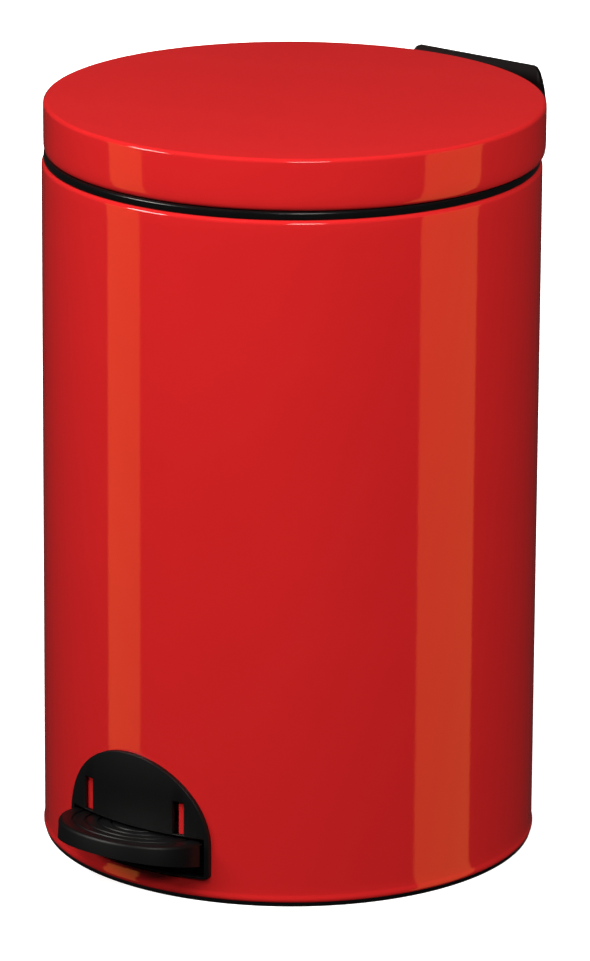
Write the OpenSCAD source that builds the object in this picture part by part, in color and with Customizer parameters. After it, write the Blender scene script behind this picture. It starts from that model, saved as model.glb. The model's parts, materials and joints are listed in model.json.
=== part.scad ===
// Pedal-operated waste can: a steel can with a lid hinged at the back, a foot pedal at the front,
// a lever and a push rod that join the two, and a lift-out bucket. Millimetres, +Z up, the floor at
// z = 0, the can's own axis on the Z axis, the pedal towards -Y and the hinge towards +Y.

/* [Body] */
// Outside diameter of the steel body
body_d = 292; // [240:1:360]
// Height of the body's rolled top edge above the floor
body_h = 411; // [330:1:520]
// Thickness of the body's sheet steel
body_wall = 0.8; // [0.6:0.1:1.2]
// Radius of the rolled shoulder at the body's top edge
shoulder_r = 3; // [2:0.5:4]
// How far the bead at the body's foot stands out
foot_bead = 0.6; // [0:0.1:1.5]

/* [Base] */
// Height of the plastic base ring below the steel body
base_ring_h = 3; // [2:0.5:6]
// Width of the base ring's foot, in from the body
base_foot_w = 15; // [10:1:24]
// Thickness of the steel bottom plate
bottom_t = 1.2; // [0.8:0.1:2]

/* [Collar] */
// Height of the black band that shows between the body and the lid
band_h = 4.7; // [3:0.1:9]
// How far the band is set back from the body's outside
band_setback = 1.2; // [0.4:0.1:2]
// Depth of the bucket ledge below the body's top edge
ledge_drop = 8; // [6:0.5:14]

/* [Lid] */
// How far the lid's skirt stands out past the body, on the radius
lid_over = 0.5; // [0:0.1:1]
// Height of the lid's skirt
lid_h = 30.2; // [27:0.1:34]
// Thickness of the lid's sheet steel
lid_wall = 0.8; // [0.6:0.1:1.2]
// Radius of the lid's upper edge
lid_edge_r = 2.5; // [2:0.5:6]
// Rise of the lid's top from its edge to its middle
lid_crown = 1; // [0:0.5:4]
// How far the lid sits back of the body's axis
lid_back = 2.3; // [0:0.1:3]
// Gap between the closed lid and the band below it
lid_gap = 0.3; // [0.2:0.1:1]
// Opening angle of the lid
lid_open = 75; // [60:1:78]

/* [Hinge] */
// Distance of the hinge axis behind the body's outside
hinge_back = 5.5; // [5:0.1:7]
// Height of the hinge axis above the body's top edge
hinge_up = 10; // [9:0.5:12]
// Radius of the hinge pin
pin_r = 2.5; // [2:0.1:3]
// Depth of the hinge housing behind the body
housing_depth = 32.5; // [31:0.5:42]
// Width of the hinge housing's straight top edge
housing_top_w = 86; // [78:1:100]
// Full width of the hinge housing
housing_w = 103; // [98:1:130]
// Height of the hinge housing's top edge above the body's top edge
housing_up = 29.3; // [24:0.1:34]
// Thickness of the hinge housing's walls
housing_wall = 2.5; // [2:0.1:2.8]

/* [Pedal] */
// Width of the pedal
pedal_w = 97; // [80:1:110]
// How far the pedal stands out from the body
pedal_reach = 35; // [24:0.5:38]
// Height of the pedal's top above the floor, where it enters the body
pedal_top = 38; // [37:0.5:44]
// Slope of the pedal's top, up towards its front
pedal_tilt = 5; // [0:0.5:7]
// Height of the pedal's skirt at its front
pedal_skirt = 10; // [8:0.5:12]
// Thickness of the pedal's moulding
pedal_wall = 2.4; // [2:0.1:3]
// Number of grooves in the pedal's tread
groove_count = 5; // [2:1:6]

/* [Pedal surround] */
// Width of the surround plate's border beside the pedal
surround_border = 3.8; // [3:0.1:8]
// Height of the surround plate's top above the floor
surround_top = 83.5; // [76:0.5:100]
// Thickness of the surround plate
surround_t = 2.5; // [1.5:0.1:3.5]
// Width of each slot in the surround plate
slot_w = 7; // [5:0.5:9]
// Height of each slot in the surround plate
slot_h = 20; // [14:0.5:22]

/* [Lever and push rod] */
// Distance of the lever's pivot in front of the body's axis
pivot_front = 26; // [15:1:32]
// Height of the lever's pivot above the floor
pivot_up = 24; // [22:0.5:25]
// Width of the lever's channel
lever_w = 24; // [20:1:30]
// Thickness of the lever's and brackets' steel
lever_t = 2; // [1.5:0.1:2.5]
// Radius of the push rod's wire
rod_r = 2; // [1.6:0.1:2.4]
// Height of the push rod's lower hook above the floor, at rest
rod_foot_up = 14; // [13:0.5:16]
// Play of the push rod's hook across the crank's slot
slot_play = 0.9; // [0.8:0.1:1.1]

/* [Bucket] */
// Gap between the bucket's wall and the body's outside
bucket_gap = 20; // [19.5:0.5:32]
// How far the bucket's rim stands out from its wall
bucket_rim = 4; // [3:0.5:4.5]
// Height of the bucket's bottom above the floor
bucket_up = 62; // [52:1:120]
// Thickness of the bucket's sheet steel
bucket_wall = 0.8; // [0.6:0.1:1.2]
// How much narrower the bucket's bottom is, on the radius
bucket_taper = 7; // [3:0.5:14]
// Radius of the bucket handle's wire
bail_r = 2.25; // [1.5:0.25:2.5]

/* [Hidden] */
$fn = 96;

RED = [0.80, 0.07, 0.06];
BLACK = [0.06, 0.06, 0.065];
STEEL = [0.66, 0.68, 0.70];
ZINC = [0.72, 0.75, 0.78];
NYLON = [0.90, 0.89, 0.84];

eps = 0.01;          // overlap that keeps a cut clean
clear = 0.2;         // fit between fixed neighbours
loose = 0.3;         // gap between pieces that move past each other
run_fit = 0.05;      // radial clearance of a shaft in its bore

// Body
body_r = body_d / 2;
body_in = body_r - body_wall;
curl_in = body_r - shoulder_r - 1.2;                  // inner edge of the rolled top

// Base
upstand_t = 2;
upstand_h = 5;
upstand_out = body_in - clear;
bottom_r = upstand_out - upstand_t - clear;
bottom_flange_h = 5;
bottom_top = base_ring_h + bottom_t;

// Collar
collar_out = body_r - band_setback;
collar_top = body_h + band_h;
collar_skirt_out = curl_in - clear;
collar_skirt_t = 2;
lip_h = 4.8;
lip_out = body_r - 6.4;
lip_t = 1.8;
ledge_top = body_h - ledge_drop;
ledge_t = 2.5;
collar_gap = 24;                                      // width of the collar's gap at the back

// Lid
lid_r = body_r + lid_over;
lid_in = lid_r - lid_wall;
lid_z = collar_top + lid_gap;                         // underside of the closed lid's hem
lid_rim_z = lid_z + lid_h;                            // top of the lid at its edge
hem_in = 2.6;                                         // how far the hem curls in
hem_h = 5;

// Hinge
axis_y = body_r + hinge_back;
axis_z = body_h + hinge_up;
housing_back = body_r + housing_depth;
housing_z = body_h + housing_up;
housing_low = body_h - 38;                            // lowest point of the housing, on the body
housing_chin = body_h - 14;                           // where the sloping underside meets the back
boss_r = 6;                                           // eye around the hinge pin
lug_w = 6;
lug_at = [18, 30];                                    // middle of each bearing lug, on each side
arm_at = 24;
arm_t = 2.5;
pin_half = lug_at[1] + lug_w / 2 + 1;
notch_half = pin_half + 1.5;                          // half the width of the notch in the lid's skirt
notch_top = axis_z + boss_r + 2;
bush_r = 4;
bracket_t = 1.6;

// Push rod: its hook stays on one vertical line while the crank turns about the hinge axis
rod_y = body_in - 5.7;
crank_reach = axis_y - rod_y;
rod_top_up = axis_z - crank_reach * tan(lid_open / 2);
rod_lift = 2 * crank_reach * tan(lid_open / 2);
crank_far = crank_reach / cos(lid_open / 2);
crank_x = 4;
crank_end_r = 4.8;
hook_top = 10;
clip_r = 4.6;
clip_t = 1;

// Lever: its frame has the pivot at its origin and the rod's hook on its own Y axis
lever_rear = norm([rod_y + pivot_front, pivot_up - rod_foot_up]);
lever_tilt = -atan((pivot_up - rod_foot_up) / (rod_y + pivot_front));
pedal_turn = 2 * asin(rod_lift / 2 / lever_rear);
lever_front = body_r + pedal_reach - 12 - pivot_front;
lever_top = 3;                                        // top face above the pivot
lever_deep = 8;
lever_toe = 1;
lever_eye = 4.4;                                      // half height of the lever's end round the hook
axle_r = 3;
lever_bush_r = 5;
ear_gap = 1.5;
ear_x = lever_w / 2 + ear_gap;
hook_foot = lever_w / 2 + 3.5;

// Pedal
pedal_back = body_r - 5;                              // back line that the tread's curve starts from
pedal_curve = 2.1;                                    // exponent of the tread's rounded outline
tread_in = body_r + 1;                                // the tread's back edge, in the surround's mouth
skirt_in = body_r + surround_t + 2;                   // the skirt's ends, clear of the surround
skirt_drop = 4;                                       // how much deeper the skirt is at its ends
tongue_w = 26;
tongue_end = body_r - 20;
screw_bite = 1.6;                                     // how far a screw reaches above the lever
tread_groove_w = 1.2;
tread_groove_d = 0.9;
screw_r = 1.9;
screw_at = [body_r + pedal_reach - 19, tongue_end + 7];

// Surround and the window behind it
window_half = 32.7;
window_low = 12.5;
surround_low = 14.5;
surround_w = pedal_w + 2 * surround_border;
arch_z = surround_low + 18.5;                         // height where the arch meets its straight sides
surround_in = body_r + 0.1;
surround_out = body_r + surround_t + 0.1;
mouth_half = pedal_w / 2 + 0.8;
mouth_low = surround_low + 1.5;
mouth_high = pedal_top + 1;
slot_low = mouth_high + 1;
window_high = slot_low + slot_h + 1;
slot_in = 30.3;
hook_t = 2.5;

// Rivets and guides
rivet_r = 1.6;
rivet_head = 3.4;
rivet_cap = 1.1;
lid_rivet_angles = [-12, -5, 5, 12];
housing_rivet_in = 8.7;                               // from the housing's cheek in to its rivets
housing_rivet_angle = asin((housing_w / 2 - 2 * housing_wall - housing_rivet_in) / body_r);
guide_half = 16;
guide_h = 16;
guide_in = rod_y - 4.8;
guide_rivet_angle = asin(10.5 / body_r);
guide_at = [0.27 * body_h, 0.8 * body_h];

// Bucket
bucket_r = body_r - bucket_gap;
bucket_rim_r = bucket_r + bucket_rim;
bucket_in = bucket_r - bucket_wall;
bucket_rim_z = ledge_top + loose + bucket_wall / 2;
bucket_straight = 32;                                 // height of the bucket's parallel neck
bail_z = bucket_rim_z - 13;
ear_t = 1.5;
ear_half = 12;
ear_rivet_up = 7;
bail_radius = bucket_in - ear_t - clear - bail_r - 3.2;
bail_head_r = 3.4;

// ---- Shapes shared by the pieces ----

function unit(v) = v / norm(v);
function left(v) = [-v[1], v[0]];
function arc(c, r, a0, a1, n = 6) = [for (i = [0 : n]) let (a = a0 + (a1 - a0) * i / n) c + r * [cos(a), sin(a)]];

// Closed outline of a sheet of thickness t along a path of points
function side(p, i) = left(unit(p[min(i + 1, len(p) - 1)] - p[max(i - 1, 0)]));
function sheet(p, t) = concat(
    [for (i = [0 : len(p) - 1]) p[i] + side(p, i) * t / 2],
    [for (i = [len(p) - 1 : -1 : 0]) p[i] - side(p, i) * t / 2]);

module turned(profile) {
    rotate_extrude(angle = 360, $fn = 180) polygon([for (p = profile) [p[0] < 0.2 ? 0 : p[0], p[1]]]);
}

// A ring between two radii
module tube(r_out, r_in, z0, z1) {
    translate([0, 0, z0]) difference() {
        cylinder(r = r_out, h = z1 - z0, $fn = 180);
        translate([0, 0, -1]) cylinder(r = r_in, h = z1 - z0 + 2, $fn = 180);
    }
}

// A solid drawn in the Y-Z plane and given a thickness across X
module across(x0, x1) {
    translate([x0, 0, 0]) rotate([90, 0, 90]) linear_extrude(height = x1 - x0) children();
}

// A solid drawn in the X-Z plane and given a depth along Y
module along(y0, y1) {
    translate([0, y1, 0]) rotate([90, 0, 0]) linear_extrude(height = y1 - y0) children();
}

// A rod along X between two points, at a given y and z
module crossbar(r, x0, x1, y, z) {
    translate([x0, y, z]) rotate([0, 90, 0]) cylinder(r = r, h = x1 - x0);
}

// A rod pointing outwards at an angle round the Z axis; 90 degrees is the back
module spoke(r, r0, r1, angle, z) {
    rotate([0, 0, angle]) translate([r0, 0, z]) rotate([0, 90, 0]) cylinder(r = r, h = r1 - r0);
}

// A rivet through a curved wall, its head outside and its tail inside
module rivet(outside, inside, angle, z) {
    spoke(rivet_r, inside - 0.5, outside + 0.5, angle, z);
    spoke(rivet_head, outside + eps, outside + rivet_cap, angle, z);
    spoke(rivet_head - 0.8, inside - rivet_cap, inside - eps, angle, z);
}

module rivet_hole(angle, z) {
    spoke(rivet_r + run_fit, body_r - 30, body_r + 12, angle, z);
}

// Both sides of the can's middle plane
module both() {
    children();
    mirror([1, 0, 0]) children();
}

module at_lid() {
    translate([0, lid_back, 0]) children();
}

module at_lever() {
    translate([0, -pivot_front, pivot_up]) rotate([lever_tilt, 0, 0]) children();
}

// ---- Body and base ----

module body_shell() {
    foot = base_ring_h;
    mid = body_r - body_wall / 2;
    turn = shoulder_r - body_wall / 2;
    path = concat(
        [[mid, foot], [mid + foot_bead * 0.7, foot + 0.7], [mid + foot_bead, foot + 1.4]],
        [[mid + foot_bead, foot + 2.2], [mid, foot + 4.4]],
        arc([mid - turn, body_h - shoulder_r], turn, 0, 90),
        [[curl_in + body_wall / 2, body_h - body_wall / 2]]);
    color(RED) difference() {
        turned(sheet(path, body_wall));
        along(-body_r - 5, -body_r * 0.5) union() {
            translate([-window_half, window_low]) square([2 * window_half, window_high - window_low]);
            translate([-mouth_half - clear, surround_low + 0.3])
                square([2 * (mouth_half + clear), mouth_high - surround_low - 1.3]);
        }
        translate([-collar_gap / 2 + 1, body_r - 12, body_h - 11]) cube([collar_gap - 2, 20, 20]);
        for (s = [-1, 1], z = housing_rivet_z()) rivet_hole(90 + s * housing_rivet_angle, z);
        for (s = [-1, 1], z = guide_at) rivet_hole(90 + s * guide_rivet_angle, z);
    }
}

module base_ring() {
    color(BLACK) turned([
        [body_r - base_foot_w, 0], [body_r - 1, 0], [body_r - 0.3, 0.7], [body_r - 0.3, base_ring_h - 0.1],
        [upstand_out, base_ring_h - 0.1], [upstand_out, base_ring_h + upstand_h],
        [upstand_out - upstand_t, base_ring_h + upstand_h], [upstand_out - upstand_t, base_ring_h],
        [body_r - base_foot_w, base_ring_h]]);
}

module bottom_plate() {
    mid = base_ring_h + bottom_t / 2;
    wall = bottom_r - bottom_t / 2;
    path = concat(
        [[0, mid]],
        arc([wall - 3, mid + 3], 3, -90, 0, 4),
        [[wall, base_ring_h + bottom_flange_h]]);
    color(ZINC) difference() {
        turned(sheet(path, bottom_t));
        for (x = bracket_rivet_x(), y = bracket_rivet_y())
            translate([x, y, -1]) cylinder(r = rivet_r + run_fit, h = 20);
    }
}

module top_collar() {
    outline = [
        [collar_out, body_h + 0.05], [collar_out, collar_top - 1], [collar_out - 0.8, collar_top],
        [lip_out, collar_top], [lip_out, collar_top + lip_h - 0.6], [lip_out - 0.6, collar_top + lip_h],
        [lip_out - lip_t, collar_top + lip_h], [lip_out - lip_t, ledge_top + 1],
        [lip_out - lip_t - 1, ledge_top], [bucket_r + 1.5, ledge_top], [bucket_r + 1.5, ledge_top - ledge_t],
        [collar_skirt_out, ledge_top - ledge_t], [collar_skirt_out, body_h + 0.05]];
    color(BLACK) difference() {
        turned(outline);
        translate([-collar_gap / 2, body_r - 30, ledge_top - 20]) cube([collar_gap, 40, 60]);
    }
}

// ---- Pedal surround ----

module surround_outline() {
    half = surround_w / 2;
    corner = 3;
    polygon(concat(
        [for (i = [0 : 40]) let (a = 180 * i / 40) [half * cos(a), arch_z + (surround_top - arch_z) * sin(a)]],
        arc([-half + corner, surround_low + corner], corner, 180, 270, 4),
        arc([half - corner, surround_low + corner], corner, 270, 360, 4)));
}

// One snap hook: a wall beside the slot, with a toe that reaches behind the window's edge
module surround_hook(z) {
    toe_x = window_half + 2;
    toe_y = sqrt(pow(body_in - clear, 2) - pow(toe_x, 2));
    both() difference() {
        translate([slot_in - hook_t, -surround_in - 0.5, z]) union() {
            cube([hook_t, surround_in + 2.9 - toe_y, 5]);
            translate([0, surround_in + 0.5 - toe_y, 0]) cube([toe_x - slot_in + hook_t, 2.4, 5]);
        }
        tube(surround_out + 30, surround_in + 0.5, 0, 200);
    }
}

module pedal_surround() {
    color(BLACK) union() {
        difference() {
            intersection() {
                tube(surround_out, surround_in, 0, surround_top + 20);
                along(-surround_out - 5, -body_r * 0.5) surround_outline();
            }
            along(-surround_out - 5, -body_r * 0.5) union() {
                translate([-mouth_half, mouth_low]) square([2 * mouth_half, mouth_high - mouth_low]);
                for (x = [slot_in, -slot_in - slot_w]) translate([x, slot_low]) square([slot_w, slot_h]);
            }
        }
        for (z = [slot_low + 1, slot_low + slot_h - 6]) surround_hook(z);
    }
}

// ---- Hinge housing, pin and its rivets ----

function housing_rivet_z() = [housing_low + 10, body_h - 12];

// Rear view: a flat top, then shoulders that widen downwards
module housing_rear_view() {
    top = housing_top_w / 2;
    half = housing_w / 2;
    drop = 20;
    shoulder = [for (i = [0 : 5]) let (a = 30 + 60 * i / 5)
        [top + (half - top) * sin(a - 30) / sin(60), housing_z - drop * (1 - cos(a - 30)) / (1 - cos(60))]];
    polygon(concat(
        shoulder,
        [[half, housing_low + 8], [half - 6, housing_low], [-half + 6, housing_low], [-half, housing_low + 8]],
        [for (i = [5 : -1 : 0]) [-shoulder[i][0], shoulder[i][1]]]));
}

// Side view: a tall back wall, low cheeks that slope up to it, a sloping underside
module housing_side_view(inset) {
    back = housing_back - inset;
    low = housing_low + inset;
    wall_top = inset > 0 ? housing_z + 10 : housing_z;
    polygon([
        [body_r - 20, low], [body_r + 2, low], [back - 3, housing_chin + inset * 0.4], [back, housing_chin + 3 + inset * 0.4],
        [back, wall_top], [back - housing_wall + 2 * inset, wall_top],
        [back - housing_wall - 0.6, inset > 0 ? wall_top : body_h + 9], [body_r - 20, inset > 0 ? wall_top : body_h + 1]]);
}

module housing_lug(x) {
    across(x - lug_w / 2, x + lug_w / 2) union() {
        translate([axis_y, axis_z]) circle(r = boss_r);
        polygon([
            [body_r - 12, axis_z - 26], [axis_y + boss_r, axis_z - 22], [axis_y + boss_r, axis_z],
            [axis_y - boss_r, axis_z], [axis_y - boss_r, axis_z - 4], [body_r - 12, axis_z - 4]]);
    }
}

module hinge_housing() {
    plate_t = housing_wall;
    color(BLACK) difference() {
        union() {
            difference() {
                intersection() {
                    along(body_r - 20, housing_back) housing_rear_view();
                    across(-housing_w, housing_w) housing_side_view(0);
                }
                across(-housing_w / 2 + housing_wall * 2, housing_w / 2 - housing_wall * 2)
                    housing_side_view(housing_wall);
            }
            intersection() {
                tube(body_r + plate_t, body_r - 1, housing_low, body_h - 1);
                along(0, housing_back) housing_rear_view();
            }
            for (s = [-1, 1], x = lug_at) housing_lug(s * x);
        }
        translate([0, 0, housing_low - 10]) cylinder(r = body_r + 0.1, h = 80, $fn = 180);
        crossbar(pin_r + run_fit, -pin_half - 5, pin_half + 5, axis_y, axis_z);
        for (s = [-1, 1], z = housing_rivet_z())
            spoke(rivet_r + run_fit, body_r - 5, body_r + 8, 90 + s * housing_rivet_angle, z);
    }
}

module housing_rivets() {
    color(STEEL) for (s = [-1, 1], z = housing_rivet_z())
        rivet(body_r + housing_wall, body_in, 90 + s * housing_rivet_angle, z);
}

module hinge_pin() {
    color(STEEL) crossbar(pin_r, -pin_half, pin_half, axis_y, axis_z);
}

// ---- Lid ----

module lid_shell() {
    mid = lid_r - lid_wall / 2;
    turn = lid_edge_r - lid_wall / 2;
    top = lid_rim_z - lid_wall / 2;
    hem = lid_z + lid_wall / 2;
    crown_steps = 6;
    path = concat(
        [[mid - hem_in, hem + 1.2], [mid - hem_in + 0.2, hem + 0.3], [mid - hem_in * 0.62, hem]],
        [[mid - hem_in * 0.2, hem + hem_h * 0.3], [mid, hem + hem_h]],
        arc([mid - turn, top - turn], turn, 0, 84),
        [for (i = [1 : crown_steps]) let (s = 1 - i / crown_steps) [(mid - turn) * s, top + lid_crown * (1 - s * s)]]);
    at_lid() color(RED) difference() {
        turned(sheet(path, lid_wall));
        translate([-notch_half, lid_r - 20, lid_z - 1]) cube([2 * notch_half, 30, notch_top - lid_z + 1]);
        for (a = lid_rivet_angles) rivet_hole(90 + a, lid_rivet_z());
    }
}

function lid_rivet_z() = notch_top + 5.6;

// Side view of one hinge arm, from the plate inside the skirt out to the pin
module arm_view(plate_y) {
    translate([axis_y, axis_z]) circle(r = boss_r);
    polygon([
        [plate_y - 4, axis_z + 2], [plate_y - 4, notch_top + 9], [plate_y - 0.4, notch_top + 9],
        [plate_y - 0.4, notch_top - 1.2], [axis_y, axis_z + boss_r - 0.2], [axis_y, axis_z - boss_r + 0.2],
        [axis_y - 4, axis_z - 3]]);
}

// Side view of the crank that the push rod turns
module crank_view(plate_y) {
    dir = [-cos(lid_open / 2), -sin(lid_open / 2)];
    tip = [axis_y, axis_z] + dir * (crank_far + 0.2);
    difference() {
        union() {
            translate(tip) circle(r = crank_end_r);
            polygon([
                tip + [-crank_end_r, 0], [tip[0] - crank_end_r + 0.5, axis_z], [plate_y - 6, notch_top + 9],
                [plate_y - 0.4, notch_top + 9], [plate_y - 0.4, axis_z], tip + [crank_end_r * 0.8, -crank_end_r * 0.6]]);
        }
        for (reach = [crank_reach - 0.2, crank_far + 0.2])
            translate([axis_y, axis_z] + dir * reach) circle(r = rod_r + slot_play);
        translate([axis_y, axis_z]) rotate(180 + lid_open / 2)
            translate([crank_reach - 0.2, -rod_r - slot_play]) square([crank_far - crank_reach + 0.4, 2 * (rod_r + slot_play)]);
    }
}

module lid_bracket() {
    plate_out = lid_in - 0.1;
    arm_y = lid_back + sqrt(pow(plate_out, 2) - pow(arm_at, 2));
    crank_y = lid_back + sqrt(pow(plate_out, 2) - pow(crank_x + arm_t, 2));
    color(ZINC) difference() {
        union() {
            at_lid() intersection() {
                tube(plate_out, plate_out - bracket_t, notch_top, notch_top + 11);
                translate([-notch_half, 0, 0]) cube([2 * notch_half, lid_r, lid_rim_z]);
            }
            both() across(arm_at - arm_t / 2, arm_at + arm_t / 2) arm_view(arm_y);
            across(crank_x, crank_x + arm_t) crank_view(crank_y);
        }
        both() crossbar(bush_r, arm_at - arm_t, arm_at + arm_t, axis_y, axis_z);
        at_lid() for (a = lid_rivet_angles) rivet_hole(90 + a, lid_rivet_z());
    }
}

module lid_rivets() {
    at_lid() color(STEEL) for (a = lid_rivet_angles)
        rivet(lid_r, lid_in - 0.1 - bracket_t, 90 + a, lid_rivet_z());
}

module hinge_bushes() {
    color(NYLON) both() difference() {
        union() {
            crossbar(bush_r - 0.02, arm_at - arm_t / 2 - 0.6, arm_at + arm_t / 2, axis_y, axis_z);
            crossbar(bush_r + 1.4, arm_at - arm_t / 2 - 1.4, arm_at - arm_t / 2 - eps, axis_y, axis_z);
        }
        crossbar(pin_r + run_fit, arm_at - 9, arm_at + 9, axis_y, axis_z);
    }
}

// ---- Pedal, lever and pivot ----

function lever_face(y) = pivot_up + (y - pivot_front) * tan(-lever_tilt) + lever_top;

// The tread's frame has its origin where the top meets the body's outside, and slopes with the tread
module at_tread() {
    translate([0, -body_r, pedal_top]) rotate([-pedal_tilt, 0, 0]) children();
}

// The tread's rounded outline, at a share s of its full size about the middle of its back line
function tread_curve(s) = [for (i = [0 : 40]) let (
    a = 180 + 180 * i / 40,
    x = sign(cos(a)) * pow(abs(cos(a)), 2 / pedal_curve),
    y = pow(abs(sin(a)), 2 / pedal_curve),
    back = body_r - pedal_back) [x * s * pedal_w / 2, back - y * s * (back + pedal_reach)]];

module tread_plan(s, inset = 0) {
    offset(delta = -inset) polygon(tread_curve(s));
}

module tread_groove(s) {
    translate([0, 0, -tread_groove_d]) linear_extrude(height = 5) difference() {
        tread_plan(s);
        tread_plan(s, tread_groove_w);
    }
}

module tread_cap() {
    deep = pedal_skirt + skirt_drop;
    difference() {
        translate([0, 0, -deep]) linear_extrude(height = deep) tread_plan(1);
        translate([0, 0, -deep - 1]) linear_extrude(height = deep + 1 - pedal_wall) tread_plan(1, pedal_wall);
        translate([0, body_r, -2 * deep]) cylinder(r = skirt_in, h = 2 * deep - pedal_wall, $fn = 180);
        // The underside of the skirt rises towards the front
        translate([-pedal_w, 0, -deep]) rotate([-atan(skirt_drop / pedal_reach), 0, 0])
            translate([0, -60, -20]) cube([2 * pedal_w, 60, 20]);
        for (k = [1 : groove_count]) tread_groove(0.98 - 0.825 * k / groove_count);
    }
}

module pedal_tread() {
    tongue_top = tread_groove_d + 0.3;
    color(BLACK) difference() {
        union() {
            difference() {
                at_tread() tread_cap();
                translate([0, 0, pedal_top - 40]) cylinder(r = tread_in, h = 60, $fn = 180);
            }
            // Tongue that reaches through the mouth on to the lever
            difference() {
                at_tread() translate([-tongue_w / 2, -pedal_reach + 10, -16])
                    cube([tongue_w, pedal_reach - 10 + body_r - tongue_end, 16 - tongue_top]);
                at_lever() translate([-50, -400, lever_top - 60]) cube([100, 800, 60]);
            }
        }
        for (y = screw_at) translate([0, -y, 0]) cylinder(r = screw_r + run_fit, h = lever_face(y) + screw_bite + 0.1);
    }
}

module lever_side_view() {
    polygon([
        [-lever_front, -lever_toe], [-lever_front * 0.45, -lever_toe], [-16, -lever_deep], [16, -lever_deep],
        [lever_rear * 0.4, -6], [lever_rear - 14, -lever_eye], [lever_rear + lever_eye, -lever_eye],
        [lever_rear + lever_eye, lever_eye], [lever_rear - 14, lever_eye], [lever_rear - 20, lever_top],
        [-lever_front, lever_top]]);
}

module pedal_lever() {
    inner = lever_w / 2 - lever_t;
    color(ZINC) difference() {
        at_lever() difference() {
            across(-lever_w / 2, lever_w / 2) lever_side_view();
            translate([-inner, -lever_front - 1, -20]) cube([2 * inner, lever_front + lever_rear + 20, 20 + lever_top - lever_t]);
            crossbar(lever_bush_r, -lever_w, lever_w, 0, 0);
            crossbar(rod_r + 0.6, -lever_w, lever_w, lever_rear, 0);
            translate([-inner, lever_rear - 14, -1]) cube([2 * inner, 30, 20]);
        }
        for (y = screw_at) translate([0, -y, 0]) cylinder(r = screw_r + run_fit, h = 100);
    }
}

module pedal_screws() {
    color(STEEL) for (y = screw_at) {
        under = lever_face(y) - lever_t;
        translate([0, -y, under - 2.4]) cylinder(r = 3.6, h = 2.1);
        translate([0, -y, under - 1]) cylinder(r = screw_r, h = 1 + lever_t + screw_bite);
    }
}

module lever_bush() {
    color(NYLON) at_lever() difference() {
        crossbar(lever_bush_r - 0.02, -lever_w / 2, lever_w / 2, 0, 0);
        crossbar(axle_r + run_fit, -lever_w, lever_w, 0, 0);
    }
}

module lever_axle() {
    color(STEEL) crossbar(axle_r, -ear_x - lever_t - 4, ear_x + lever_t + 4, -pivot_front, pivot_up);
}

module axle_clips() {
    color(STEEL) both() difference() {
        crossbar(axle_r + 2.5, ear_x + lever_t + 0.4, ear_x + lever_t + 1.6, -pivot_front, pivot_up);
        crossbar(axle_r + 0.02, 0, 60, -pivot_front, pivot_up);
    }
}

function bracket_rivet_x() = [-ear_x - 10, ear_x + 10];
function bracket_rivet_y() = [-pivot_front - 14, -pivot_front + 14];

module pivot_bracket() {
    foot_half = ear_x + 17;
    color(ZINC) difference() {
        union() {
            both() translate([ear_x, -pivot_front - 20, bottom_top]) cube([foot_half - ear_x, 40, lever_t]);
            translate([-ear_x - 1, -pivot_front - 20, bottom_top]) cube([2 * ear_x + 2, 40, lever_t - 0.6]);
            both() across(ear_x, ear_x + lever_t) union() {
                translate([-pivot_front, pivot_up]) circle(r = 8);
                polygon([
                    [-pivot_front - 16, bottom_top], [-pivot_front + 16, bottom_top],
                    [-pivot_front + 8, pivot_up], [-pivot_front - 8, pivot_up]]);
            }
        }
        crossbar(axle_r + 0.02, -60, 60, -pivot_front, pivot_up);
        for (x = bracket_rivet_x(), y = bracket_rivet_y())
            translate([x, y, -1]) cylinder(r = rivet_r + run_fit, h = 40);
    }
}

module bracket_rivets() {
    foot_top = bottom_top + lever_t;
    color(STEEL) for (x = bracket_rivet_x(), y = bracket_rivet_y()) translate([x, y, 0]) {
        translate([0, 0, base_ring_h - 0.5]) cylinder(r = rivet_r, h = foot_top - base_ring_h + 1);
        translate([0, 0, foot_top + eps]) cylinder(r = rivet_head, h = rivet_cap);
        translate([0, 0, base_ring_h - rivet_cap]) cylinder(r = rivet_head - 0.8, h = rivet_cap - eps);
    }
}

// ---- Push rod and its guides ----

module push_rod() {
    color(STEEL) union() {
        translate([0, rod_y, rod_foot_up]) cylinder(r = rod_r, h = rod_top_up - rod_foot_up);
        translate([0, rod_y, rod_foot_up]) sphere(r = rod_r);
        translate([0, rod_y, rod_top_up]) sphere(r = rod_r);
        crossbar(rod_r, 0, hook_foot, rod_y, rod_foot_up);
        crossbar(rod_r, 0, hook_top, rod_y, rod_top_up);
    }
}

module rod_clips() {
    color(STEEL) {
        rod_clip(lever_w / 2 + 0.6, rod_foot_up);
        rod_clip(crank_x + arm_t + 0.6, rod_top_up);
    }
}

module rod_clip(x, z) {
    difference() {
        crossbar(clip_r, x, x + clip_t, rod_y, z);
        crossbar(rod_r + 0.02, x - 1, x + 5, rod_y, z);
    }
}

module rod_guides() {
    color(NYLON) for (z = guide_at) difference() {
        intersection() {
            translate([-guide_half, guide_in, z - guide_h / 2]) cube([2 * guide_half, 20, guide_h]);
            translate([0, 0, z - guide_h]) cylinder(r = body_in - 0.1, h = 2 * guide_h, $fn = 180);
        }
        translate([0, rod_y, z - guide_h]) cylinder(r = rod_r + 0.2, h = 2 * guide_h);
        for (s = [-1, 1]) {
            spoke(rivet_r + run_fit, body_r - 30, body_r + 1, 90 + s * guide_rivet_angle, z);
            spoke(rivet_head, body_r - 30, body_r - 6, 90 + s * guide_rivet_angle, z);
        }
    }
}

module guide_rivets() {
    color(STEEL) for (s = [-1, 1], z = guide_at)
        rivet(body_r, body_r - 6, 90 + s * guide_rivet_angle, z);
}

// ---- Bucket and its handle ----

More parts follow.
